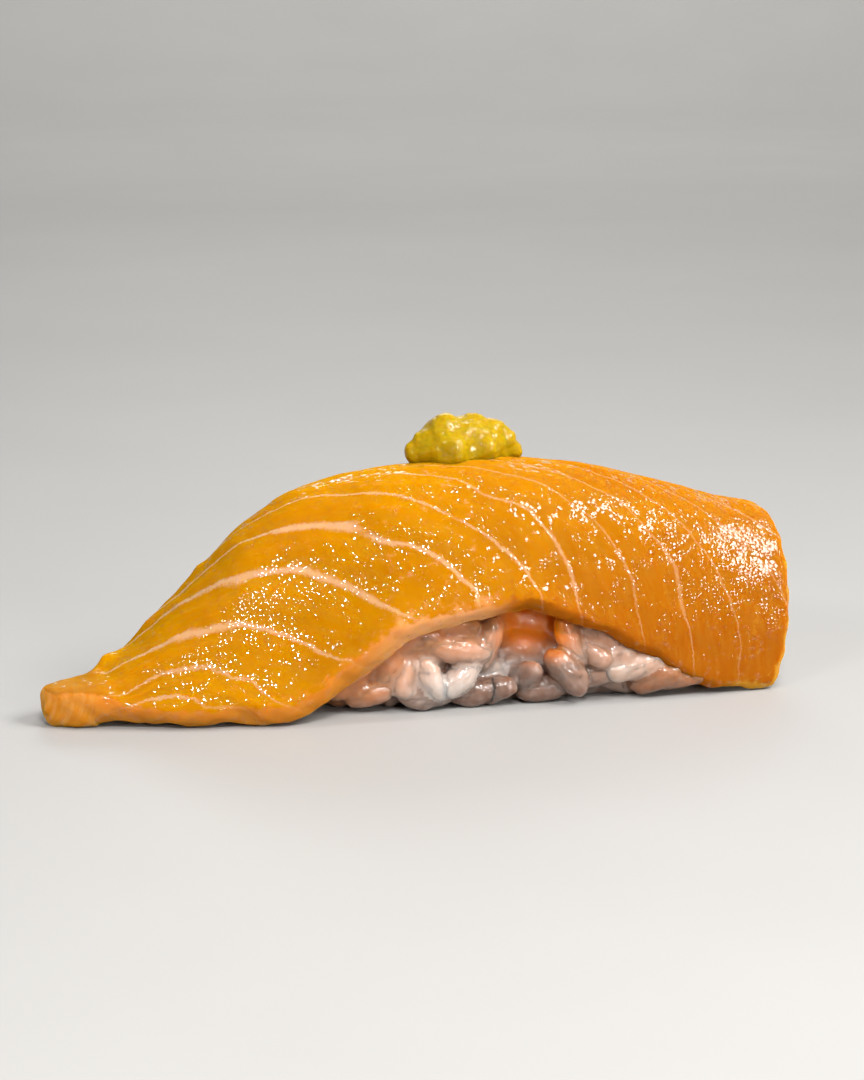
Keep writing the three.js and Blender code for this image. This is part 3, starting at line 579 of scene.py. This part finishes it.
rice = {
    "fromX": -24, "toX": 29, "halfWidth": 8.4, "planPower": 3.2,
    "footInset": 1.1, "footHeight": 12,  # it draws in towards its foot, from this height down
    "lowest": 3, "underSlice": 0.15,  # least height of the core, and its gap to the slice
    "bumps": [[0.45, 3.6, 21], [0.2, 1.4, 22]],  # on the core: heights, wavelengths and seeds
    "offFloor": 0.02,
    "grain": {"length": 6.4, "width": 3.1, "depth": 2.7},
    "blunt": 0.85, "plump": 0.75, "taper": 0.1, "bend": 0.5,  # shape of a grain
    "grainBumps": [[0.09, 2.6], [0.05, 1.2]],  # heights and wavelengths
    "rows": 7, "rowHeight": 2.2, "pitch": 4.1, "seed": 11,
    # chance in the rows: along them, up and down, in lean and turn, in size, and in how milky
    "shift": 0.5, "rise": 0.25, "lean": 0.9, "turn": 0.45, "grow": [0.86, 1.08], "milky": [0.15, 0.8],
    "apart": 2.6,  # from the grains set one by one
    "cover": 0.25,  # how deep a grain stays under the slice's shown side
    "layers": [[0.35, 0.0], [-1.0, 0.5]],  # how far a layer stands out of the core, and its offset
    "bare": {"fromX": -1.5, "toX": 9.5, "aboveZ": 4.2},  # no rows here, at the top of the arch
    # a dent where the slice's underside shows
    "hollow": {"x": 4.1, "reach": 3.4, "fromZ": 4.2, "over": 4, "beforeY": -1, "depth": 1.5},
    # the slice's juice together with painted orange light from the slice: how far they reach, how strong they
    # are left and right of where they weaken
    "stain": {"reach": 7.5, "left": 0.9, "right": 0.4, "fromX": -4, "over": 6},
    # starch over the grains: how thick it is left and right, and how far from the slice it thins out
    "starch": {"left": 0.4, "right": 0.12, "fromX": -14, "over": 6, "reach": 3.5, "sunk": 0.01,
               "ofGap": 0.6, "ripples": [[0.04, 5, 24]]},
    "crease": {"milky": 0.25, "from": 0.15, "over": 0.4},  # starch in a crease is clearer
    "voxel": 0.28, "smoothing": 14,
    # the third colour is the slice's juice together with painted orange light from the slice, the fourth is
    # painted orange light in the hollow, as if it came through the slice
    "colours": {"clear": "#6C4E3E", "milky": "#AC9F96", "stained": "#B86E2A", "soaked": "#D8760A"},
    "depthOfWidth": 0.9,  # of the grains set one by one
    # set one by one: x, y, z of the middle, length, width, lean and turn in degrees, and how milky
    # a grain's milkiness is its own, and is kept low for the grains down by the floor as painted shade
    "placed": [
        [-12.6, -9.6, 4.2, 6, 3.2, 68, 20, 0.6], [-10.5, -10, 4.3, 5.6, 3.1, 80, -15, 0.75],
        [-4.8, -10.1, 6.8, 7.4, 3.3, -13, 5, 0.7], [-7.5, -10.4, 3.7, 5.2, 3, -62, 15, 1],
        [-4.4, -10.4, 3.7, 5.6, 3, 42, -10, 1], [-8.3, -9.9, 1.6, 6.4, 2.8, -4, 0, 0.35],
        [-2.4, -9.4, 1.8, 6.4, 3, 11, 10, 0.15], [-0.2, -9.7, 1.5, 4.6, 2.8, 30, 40, 0.2],
        [-1.3, -9.4, 7, 6.6, 3, 66, 0, 0.5], [3.5, -9.5, 3.2, 5, 3.1, 80, 55, 0.3],
        [7.5, -10.3, 3.5, 6.2, 3.5, -52, 10, 0.25], [8.5, -9.4, 7, 6, 2.9, -62, 10, 0.5],
        [10.7, -9.9, 5.8, 4.8, 2.8, -45, 40, 0.5], [13, -10.1, 5, 4.4, 2.2, 20, 30, 0.9],
        [15.4, -10.3, 4, 7.2, 2.7, 13, -5, 0.95], [12.2, -9.6, 3, 6, 3, 15, 20, 0.4],
        [17.6, -9.8, 2.4, 6, 3, 18, 20, 0.05], [-14.6, -9.6, 2.1, 5.4, 2.7, 12, 20, 0.3],
        [5.4, -9, 1.5, 6.4, 3, 5, 0, 0.2], [-16.8, -9.2, 3.6, 5.6, 2.9, 35, 10, 0.4],
        [20.6, -9.4, 1.9, 6, 3, 8, 15, 0.1], [-13.6, -9.6, 6.6, 6, 3, 24, 10, 0.5],
        [-8.9, -8.9, 5.9, 6, 3.4, -20, 0, 0.5], [-5.7, -8, 4.1, 6, 3, 0, 0, 0.2],
        [-9.2, -10, 8, 6, 3, 8, 10, 0.6], [-15.8, -10.4, 6, 5.6, 2.9, 30, 10, 0.5],
        [-5.4, -9.3, 9.3, 6.8, 3.2, -10, 0, 0.45], [-11.6, -9.7, 7.2, 5.6, 3, 35, 0, 0.5],
        [12.2, -9.3, 7.4, 6, 3, -32, 0, 0.4], [16.2, -9.4, 5.2, 6, 2.8, -24, 0, 0.4],
    ],
}
riceMiddle = (rice["fromX"] + rice["toX"]) / 2
riceReach = (rice["toX"] - rice["fromX"]) / 2


def outlinePoint(angle, inset=0):  # the block in plan, a rounded rectangle
    def rounded(v):
        return np.sign(v) * np.abs(v) ** (2 / rice["planPower"])

    return (riceMiddle + (riceReach - inset) * rounded(np.cos(angle)),
            (rice["halfWidth"] - inset) * rounded(np.sin(angle)))


def inHollow(x, y, z):  # 1 in the middle of the dent, 0 away from it
    hollow = rice["hollow"]
    share = np.exp(-(((x - hollow["x"]) / hollow["reach"]) ** 2))
    return share * smoothStep((z - hollow["fromZ"]) / hollow["over"]) * (y < hollow["beforeY"])


def coreShape():
    around, radial, levels, foot = 180, 14, 16, 5
    angles = 2 * math.pi * np.arange(around) / around
    rings = []
    for k in range(1, radial + 1):
        x, y = outlinePoint(angles)
        x, y = riceMiddle + (x - riceMiddle) * k / radial, y * k / radial
        roof = np.array([undersideAt(a, b) or rice["lowest"] for a, b in zip(x, y)])
        rings.append(np.stack([x, y, np.maximum(roof - rice["underSlice"], rice["lowest"])], -1))
    top = rings[-1][:, 2]
    for k in range(1, levels + 1):
        x, y = outlinePoint(angles, rice["footInset"] * smoothStep(k / levels))
        rings.append(np.stack([x, y, top * (1 - k / levels)], -1))
    for k in range(1, foot):
        x, y = outlinePoint(angles, rice["footInset"])
        share = 1 - k / foot
        rings.append(np.stack([riceMiddle + (x - riceMiddle) * share, y * share, 0 * x], -1))
    points = np.concatenate(rings)
    wall = np.abs(points[:, 1]) > 1
    bump = unevenness(points, rice["bumps"])
    out = np.stack([(points[:, 0] - riceMiddle) / riceReach, points[:, 1] / rice["halfWidth"]], -1)
    # bumps rise from the foot and stay off the roof
    rising = smoothStep(points[:, 2] / 1.5) * (points[:, 2] < np.tile(top, len(rings)) - 0.3)
    points[:, :2] += out * (bump * rising)[:, None]
    dent = inHollow(*points.T) * wall
    points[:, 1] += dent * rice["hollow"]["depth"]
    points = np.concatenate([points, [[riceMiddle, 0, rings[0][:, 2].mean()], [riceMiddle, 0, 0]]])
    faces = ringFaces(len(rings), around)
    crown, sole, last = len(points) - 2, len(points) - 1, (len(rings) - 1) * around
    for i in range(around):
        j = (i + 1) % around
        faces += [[crown, i, j], [sole, last + j, last + i]]
    return points, faces


def grainShape(length, width, depth, draw, columns=14, rows=16):
    # a cooked grain: a plump spindle, flatter on its sides and a little bent
    turn = np.linspace(0, math.pi, rows + 1)[1:-1]
    t = -np.sign(np.cos(turn)) * np.abs(np.cos(turn)) ** rice["blunt"]
    angles = 2 * math.pi * np.arange(columns) / columns
    radius = np.sin(turn) ** rice["plump"] * (1 - rice["taper"] * t)
    x = t[:, None] * length / 2 + 0 * angles
    y = radius[:, None] * np.cos(angles) * width / 2
    z = radius[:, None] * np.sin(angles) * depth / 2
    y = y + draw.uniform(-rice["bend"], rice["bend"]) * (1 - x**2 / (length / 2) ** 2)
    points = np.stack([x, y, z], -1).reshape(-1, 3)
    ends = np.array([[-length / 2, 0, 0], [length / 2, 0, 0]])
    points = np.concatenate([points, ends])
    seed = draw.randrange(10000)
    swell = unevenness(points, [[*bump, seed + k] for k, bump in enumerate(rice["grainBumps"])])
    points += points / np.linalg.norm(points, axis=1, keepdims=True) * swell[:, None]
    faces = [face[::-1] for face in ringFaces(len(t), columns)]
    first, last = len(t) * columns, (len(t) - 1) * columns
    beside = [(i, (i + 1) % columns) for i in range(columns)]
    faces += [[first, j, i] for i, j in beside]
    faces += [[first + 1, last + i, last + j] for i, j in beside]
    return points, faces


def turned(points, outward, lean, turn):
    # long axis along the wall, tipped by lean from level and by turn into the block
    wall = np.array([-outward[1], outward[0], 0])
    axis = wall * math.cos(lean) + np.array([0, 0, math.sin(lean)])
    axis = axis * math.cos(turn) + np.array(outward) * math.sin(turn)
    axis /= np.linalg.norm(axis)
    flat = np.array(outward) - axis * np.dot(outward, axis)
    flat /= np.linalg.norm(flat)
    return points @ np.stack([axis, np.cross(flat, axis), flat])


def pokesThrough(points):  # true where a grain would come out on the slice's shown side
    for point in points[::5]:
        place, normal, index, _ = sliceTree.find_nearest(Vector(point))
        if index in topFaces and (Vector(point) - place).dot(normal) > -rice["cover"]:
            return True
    return False


def riceGrains():
    draw = random.Random(rice["seed"])
    size, bare = rice["grain"], rice["bare"]
    grains, taken = [], []
    for x, y, z, length, width, lean, turn, milky in rice["placed"]:
        points, faces = grainShape(length, width, width * rice["depthOfWidth"], draw)
        points = turned(points, (0, -1, 0), math.radians(lean), math.radians(turn))
        points = points + np.array([x, y, z])
        points[:, 2] += max(rice["offFloor"] - points[:, 2].min(), 0)
        grains.append((points, faces, milky))
        taken.append((x, y, z))
    angles = np.linspace(0, 2 * math.pi, 721)
    wallX, wallY = outlinePoint(angles)
    run = np.concatenate([[0], np.cumsum(np.hypot(np.diff(wallX), np.diff(wallY)))])
    count = round(run[-1] / rice["pitch"])
    for proud, offset in rice["layers"]:
        for row in range(rice["rows"]):
            for i in range(count):
                at = (i + (row % 2) / 2 + offset + draw.uniform(0, rice["shift"])) / count % 1 * run[-1]
                x, y = np.interp(at, run, wallX), np.interp(at, run, wallY)
                ahead = np.interp(at + 0.3, run, wallX), np.interp(at + 0.3, run, wallY)
                along = np.array([ahead[0] - x, ahead[1] - y])
                along /= np.linalg.norm(along)
                outward = (along[1], -along[0], 0)
                rise = draw.uniform(-rice["rise"], rice["rise"])
                z = size["depth"] / 2 + rice["rowHeight"] * (row + rise)
                lean = draw.uniform(-rice["lean"], rice["lean"])
                turn = draw.uniform(-rice["turn"], rice["turn"])
                grow = draw.uniform(*rice["grow"])
                points, faces = grainShape(size["length"] * grow, size["width"] * grow,
                                           size["depth"] * grow, draw)
                foot = rice["footInset"] * max(1 - z / rice["footHeight"], 0)
                place = np.array([x, y, z]) + np.array(outward) * (proud - foot)
                if bare["fromX"] < place[0] < bare["toX"] and place[2] > bare["aboveZ"] and place[1] < 0:
                    continue
                if any(math.dist(place, spot) < rice["apart"] for spot in taken):
                    continue
                points = turned(points, outward, lean, turn) + place
                points[:, 2] += max(rice["offFloor"] - points[:, 2].min(), 0)
                if not pokesThrough(points):
                    grains.append((points, faces, draw.uniform(*rice["milky"])))
    return grains


def gapToSlice(points):  # from each point, in mm
    return np.array([sliceTree.find_nearest(Vector(point))[3] for point in points])


# the slice's juice together with painted orange light from the slice
def stainAt(points):  # strong where rice touches the slice, 0 from a few mm away
    stain = rice["stain"]
    toRight = smoothStep((points[:, 0] - stain["fromX"]) / stain["over"])
    strength = mix(stain["left"], stain["right"], toRight)
    return (1 - smoothStep(gapToSlice(points) / stain["reach"])) * strength


def milkinessAt(points):  # as the nearest grain's, and clearer where starch fills a crease
    tree = BVHTree.FromPolygons(grainPoints.tolist(), grainFaces)
    crease = rice["crease"]
    found = np.empty(len(points))
    for i, point in enumerate(points):
        place, normal, index, away = tree.find_nearest(Vector(point))
        outside = away if (Vector(point) - place).dot(normal) > 0 else 0
        inCrease = smoothStep((outside - crease["from"]) / crease["over"])
        found[i] = mix(milkiness[grainFaces[index][0]], crease["milky"], inCrease)
    return found


def starchAt(points, outward):  # how thick it lies over the grains: thickest under the arch's edge
    starch, gap = rice["starch"], gapToSlice(points)
    shown = smoothStep((-outward[:, 1] - 0.1) / 0.5)  # only on the side towards the arch
    toRight = smoothStep((points[:, 0] - starch["fromX"]) / starch["over"])
    most = mix(starch["left"], starch["right"], toRight)
    thick = unevenness(points, starch["ripples"]) - starch["sunk"]
    thick = thick + most * (1 - smoothStep(gap / starch["reach"])) * shown
    return np.minimum(thick, gap * starch["ofGap"])


def cookedRice():
    # Cooked sushi rice: starch swollen with water, so a grain is milky and lets light through, and
    # its skin is tacky and shines where it is wet.
    material, tree, shader, inMm = newMaterial("cooked_short_grain_rice", {
        "Roughness": 0.35, "IOR": 1.38, "Coat Roughness": 0.06, "Coat IOR": 1.5,
        "Subsurface Weight": 1.0, "Subsurface Radius": (1.0, 0.8, 0.65), "Subsurface Scale": 2.0 * mm,
    })
    tint = {name: rgb(colour) for name, colour in rice["colours"].items()}
    tone = add(tree, "Attribute", {}, attribute_name="tone").outputs["Fac"]
    cloud = add(tree, "TexNoise", {"Vector": inMm, "Scale": 0.7, "Detail": 2.0}).outputs[0]
    milky = add(tree, "Math", {0: cloud, 1: 0.7, 2: tone}, operation="MULTIPLY_ADD").outputs[0]
    milky = add(tree, "MapRange", {0: milky, 1: 0.45, 2: 1.35}).outputs[0]
    colour = add(tree, "Mix", {0: milky, 6: tint["clear"], 7: tint["milky"]}, data_type="RGBA").outputs[2]
    # grains that touch the slice take the colour of its juice together with painted orange light from it, and
    # the rice in the hollow is painted orange for the light that comes through the slice
    stain = add(tree, "Attribute", {}, attribute_name="stain").outputs["Fac"]
    soaked = add(tree, "Attribute", {}, attribute_name="soaked").outputs["Fac"]
    orange = add(tree, "MapRange", {0: stain, 4: 0.95}).outputs[0]
    colour = add(tree, "Mix", {0: orange, 6: colour, 7: tint["stained"]}, data_type="RGBA").outputs[2]
    brown = add(tree, "MapRange", {0: soaked, 2: 0.6}).outputs[0]
    colour = add(tree, "Mix", {0: brown, 6: colour, 7: tint["soaked"]}, data_type="RGBA").outputs[2]
    skin = add(tree, "TexNoise", {"Vector": inMm, "Scale": 0.8, "Detail": 1.0, "Roughness": 0.5}).outputs[0]
    bump = add(tree, "Bump", {"Strength": 1.0, "Distance": 0.1 * mm, "Height": skin}).outputs[0]
    share = add(tree, "MapRange", {0: soaked, 3: 0.5, 4: 0.05}).outputs[0]
    film, wet = wetFilm(tree, inMm, share, 0.04, 0.04, 2.6)
    feed(tree, shader, {"Base Color": colour, "Normal": bump, "Coat Weight": wet, "Coat Normal": film})
    return material


def joined(parts):  # several [points, faces] as one
    starts = np.cumsum([0] + [len(points) for points, _ in parts])
    faces = [[v + start for v in face] for (_, faces), start in zip(parts, starts) for face in faces]
    return np.concatenate([points for points, _ in parts]), faces


def fused(points, faces, voxel, smoothing):  # overlapping bodies as one skin, its creases filled
    mesh = bpy.data.meshes.new("rough")
    mesh.from_pydata(points.tolist(), [], faces)
    rough = bpy.data.objects.new("rough", mesh)
    bpy.context.scene.collection.objects.link(rough)
    weld = rough.modifiers.new("weld", "WELD")
    weld.merge_threshold = 0.0001
    join = rough.modifiers.new("join", "REMESH")
    join.mode = "VOXEL"
    join.voxel_size = voxel
    relax = rough.modifiers.new("relax", "SMOOTH")
    relax.factor = 0.5
    relax.iterations = smoothing
    skin = rough.evaluated_get(bpy.context.evaluated_depsgraph_get()).to_mesh()
    points = np.array([v.co for v in skin.vertices])
    normals = np.array([v.normal for v in skin.vertices])
    faces = [list(p.vertices) for p in skin.polygons]
    bpy.data.objects.remove(rough)
    return points, normals, faces


riceMaterial = cookedRice()
grains = riceGrains()
grainPoints, grainFaces = joined([grain[:2] for grain in grains])
milkiness = np.concatenate([np.full(len(points), milky) for points, _, milky in grains])
riceHeap = meshObject("riceGrains", grainPoints, grainFaces, riceMaterial,
                      tone=milkiness, stain=stainAt(grainPoints), soaked=inHollow(*grainPoints.T))
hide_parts("sushi_rice")

# the core, with sticky starch drawn up between the grains
heap = joined([coreShape(), (grainPoints, grainFaces)])
corePoints, outward, coreFaces = fused(*heap, rice["voxel"], rice["smoothing"])
corePoints += outward * starchAt(corePoints, outward)[:, None]
corePoints[:, 2] = np.maximum(corePoints[:, 2], rice["offFloor"])
core = meshObject("riceCore", corePoints, coreFaces, riceMaterial,
                  tone=milkinessAt(corePoints), stain=stainAt(corePoints),
                  soaked=inHollow(*corePoints.T))
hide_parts("sushi_rice")
print("rice", len(grains), "grains,", len(grainFaces), "and", len(coreFaces), "faces")


# The wasabi: freshly grated paste, pinched into a dab and set down on the crest.

wasabi = {
    "x": -1.5, "y": 1.7, "seed": 42,
    "uneven": 0.06,  # of each lump, as a share of its radius
    "bumps": [[0.12, 3.4, 61], [0.03, 1.5, 62], [0.02, 0.6, 63]],  # heights, wavelengths and seeds
    "sunk": 0.25,  # how deep it goes into the slice
    "voxel": 0.13, "smoothing": 60,
    "colours": ["#9E7A02", "#937C04"],  # in patches
    # the lumps it is heaped from: x, y, z from its middle on the crest, and radius
    "lumps": [[-2.1, 0, 1.6, 3.1], [0.9, 0, 1.5, 3], [-1.9, -1.6, 0.8, 2.6], [1.9, -1.8, 0.8, 1.9],
              [3.5, 0.2, 1.9, 1.9], [4.6, -0.1, 1.5, 1.35], [5.6, 0, 0.3, 1.15], [-4.1, -0.2, 1.5, 1.9],
              [-5.2, -0.3, 0.6, 1.55], [-0.7, 2, 0.6, 2.6], [2.6, 1.9, 0.4, 1.9], [4.3, -0.3, 0.1, 1.2],
              [-0.1, -1.3, 1.1, 2.3], [-3.5, -0.9, 0.7, 2], [2.6, -0.6, 1.3, 2]],
}


def ball(middle, radius, seed):
    rows, columns = 24, 32
    v = np.linspace(0, math.pi, rows + 1)[:, None]
    u = 2 * math.pi * np.arange(columns)[None, :] / columns
    unit = np.stack([np.sin(v) * np.cos(u), np.sin(v) * np.sin(u), np.cos(v) + 0 * u], -1).reshape(-1, 3)
    swell = 1 + wasabi["uneven"] * ripple(unit, 1.4, seed)
    return unit * radius * swell[:, None] + np.array(middle), ringFaces(rows + 1, columns)


def wasabiShape():
    base = float(curve["crestZ"](wasabi["x"]))
    balls = []
    for k, (dx, dy, dz, radius) in enumerate(wasabi["lumps"]):
        balls.append(ball((wasabi["x"] + dx, wasabi["y"] + dy, base + dz), radius, wasabi["seed"] + k))
    points, normals, faces = fused(*joined(balls), wasabi["voxel"], wasabi["smoothing"])
    points = points + normals * unevenness(points, wasabi["bumps"])[:, None]
    for point in points:  # it meets the slice and goes no deeper
        hit = sliceTree.ray_cast(Vector((point[0], point[1], 60)), Vector((0, 0, -1)))[0]
        if hit is not None:
            point[2] = max(point[2], hit.z - wasabi["sunk"])
    return points, faces


def gratedWasabi():
    # Grated wasabi root: a moist, fibrous paste. Fine shreds catch the light as specks, and the
    # yellow-green body is slightly translucent.
    material, tree, shader, inMm = newMaterial("grated_wasabi_paste", {
        "Roughness": 0.45, "IOR": 1.38, "Specular IOR Level": 0.1,
        "Coat Roughness": 0.03, "Coat IOR": 1.4,
        "Subsurface Weight": 1.0, "Subsurface Radius": (1.0, 0.8, 0.15), "Subsurface Scale": 1.6 * mm,
    })
    shred = add(tree, "TexNoise", {"Vector": inMm, "Scale": 1.1, "Detail": 5.0, "Roughness": 0.65}).outputs[0]
    patch = add(tree, "MapRange", {0: shred, 1: 0.35, 2: 0.65}).outputs[0]
    one, other = [rgb(colour) for colour in wasabi["colours"]]
    colour = add(tree, "Mix", {0: patch, 6: one, 7: other}, data_type="RGBA").outputs[2]
    fine = add(tree, "TexNoise", {"Vector": inMm, "Scale": 1.6, "Detail": 1.5, "Roughness": 0.5}).outputs[0]
    bump = add(tree, "Bump", {"Strength": 1.0, "Distance": 0.04 * mm, "Height": fine}).outputs[0]
    film, wet = wetFilm(tree, inMm, 0.42, 0.01, 0.042, 3.0)
    feed(tree, shader, {"Base Color": colour, "Normal": bump, "Coat Weight": wet, "Coat Normal": film})
    return material


dabPoints, dabFaces = wasabiShape()
dab = meshObject("wasabiDab", dabPoints, dabFaces, gratedWasabi())
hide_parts("wasabi_dab")
print("wasabi", len(dabPoints), "points")


# Studio: a pale floor, a faint sky, one broad lamp and smaller ones that draw the wet glints.

studio = {
    "azimuth": -12, "elevation": 12, "distance": 333, "lens": 100,
    "target": [-5.61, -0.77, 16.99],  # mm, like the distance
    "sky": 0.22, "skyColour": "#F4F6F8", "boardColours": ["#999794", "#A09E9B"],
    "lamps": [  # direction it shines from, distance and size in mm, watts
        [[0.54, -0.46, 0.7], 500, 190, 2.5],
        [[-0.08, -0.74, 0.67], 500, 80, 1.75],
        [[0.15, -0.12, 1.0], 500, 80, 0.6],
        [[-0.8, -0.8, 0.7], 600, 110, 1.1],
        [[0.67, -0.1, 0.74], 500, 70, 0.5],
        [[0.2, -0.95, 0.25], 500, 60, 0.7],
        [[0.6, -0.72, 0.35], 500, 60, 0.35],
        [[0.1, 1.0, 0.5], 500, 120, 0.15],
    ],
    "backdrop": {"place": [0.2, 0.85, 0.5], "size": 700, "watts": 4},  # lights the floor, place in metres
    # in metres: a round floor that curves up into a wall
    "floor": {"middle": 0.3, "flat": 0.9, "curve": 0.35, "wall": 0.3, "under": 0.00002},
}


def lookFrom(thing, place, target):
    thing.location = place
    thing.rotation_mode = "QUATERNION"
    thing.rotation_quaternion = (Vector(target) - Vector(place)).to_track_quat("-Z", "Y")


def setCamera(scene):
    target = Vector(np.array(studio["target"]) * mm + shift)
    turn, rise = math.radians(studio["azimuth"]), math.radians(studio["elevation"])
    back = Vector((math.sin(turn) * math.cos(rise), -math.cos(turn) * math.cos(rise), math.sin(rise)))
    camera = bpy.data.objects.new("camera", bpy.data.cameras.new("camera"))
    camera.data.lens = studio["lens"]
    camera.data.sensor_width = 36
    camera.data.clip_start = 0.01
    scene.collection.objects.link(camera)
    lookFrom(camera, target + back * studio["distance"] * mm, target)
    scene.camera = camera


def setLights(scene):
    world = bpy.data.worlds.new("studio")
    world.use_nodes = True
    sky = world.node_tree.nodes["Background"]
    feed(world.node_tree, sky, {"Color": rgb(studio["skyColour"]), "Strength": studio["sky"]})
    scene.world = world
    lamps = [[Vector(way).normalized() * distance * mm, (0, 0, 0.01), size, watts]
             for way, distance, size, watts in studio["lamps"]]
    behind = studio["backdrop"]
    below = (behind["place"][0], behind["place"][1] + 0.1, 0)
    lamps.append([Vector(behind["place"]), below, behind["size"], behind["watts"]])
    for k, (place, aim, size, watts) in enumerate(lamps):
        lamp = bpy.data.objects.new(f"lamp{k}", bpy.data.lights.new(f"lamp{k}", "AREA"))
        lamp.data.size = size * mm
        lamp.data.energy = watts
        scene.collection.objects.link(lamp)
        lookFrom(lamp, place, aim)


def paintedBoard():
    # Matt painted board: pale, with a faint mottle that keeps it from looking drawn.
    material, tree, shader, inMm = newMaterial("matt_painted_board", {"Roughness": 0.6})
    mottle = add(tree, "TexNoise", {"Vector": inMm, "Scale": 0.02, "Detail": 4.0}).outputs[0]
    one, other = [rgb(colour) for colour in studio["boardColours"]]
    colour = add(tree, "Mix", {0: mottle, 6: one, 7: other}, data_type="RGBA").outputs[2]
    feed(tree, shader, {"Base Color": colour})
    return material


def layFloor(scene):
    sweep = studio["floor"]
    bend = np.linspace(0, math.pi / 2, 12)
    end = sweep["flat"] + sweep["curve"]
    radii = [sweep["middle"], *(sweep["flat"] + sweep["curve"] * np.sin(bend)), end]
    heights = [0, *(sweep["curve"] * (1 - np.cos(bend))), sweep["curve"] + sweep["wall"]]
    around = 96
    angles = 2 * math.pi * np.arange(around) / around
    points = [(r * math.cos(a), r * math.sin(a), h) for r, h in zip(radii, heights) for a in angles]
    mesh = bpy.data.meshes.new("floor")
    mesh.from_pydata(points, [], [list(range(around)), *ringFaces(len(radii), around)])
    mesh.shade_smooth()
    mesh.materials.append(paintedBoard())
    floor = bpy.data.objects.new("floor", mesh)
    floor.location.z = -sweep["under"]
    scene.collection.objects.link(floor)


scene = bpy.context.scene
scene.view_settings.view_transform = "Standard"
setCamera(scene)
setLights(scene)
layFloor(scene)
print("studio set")
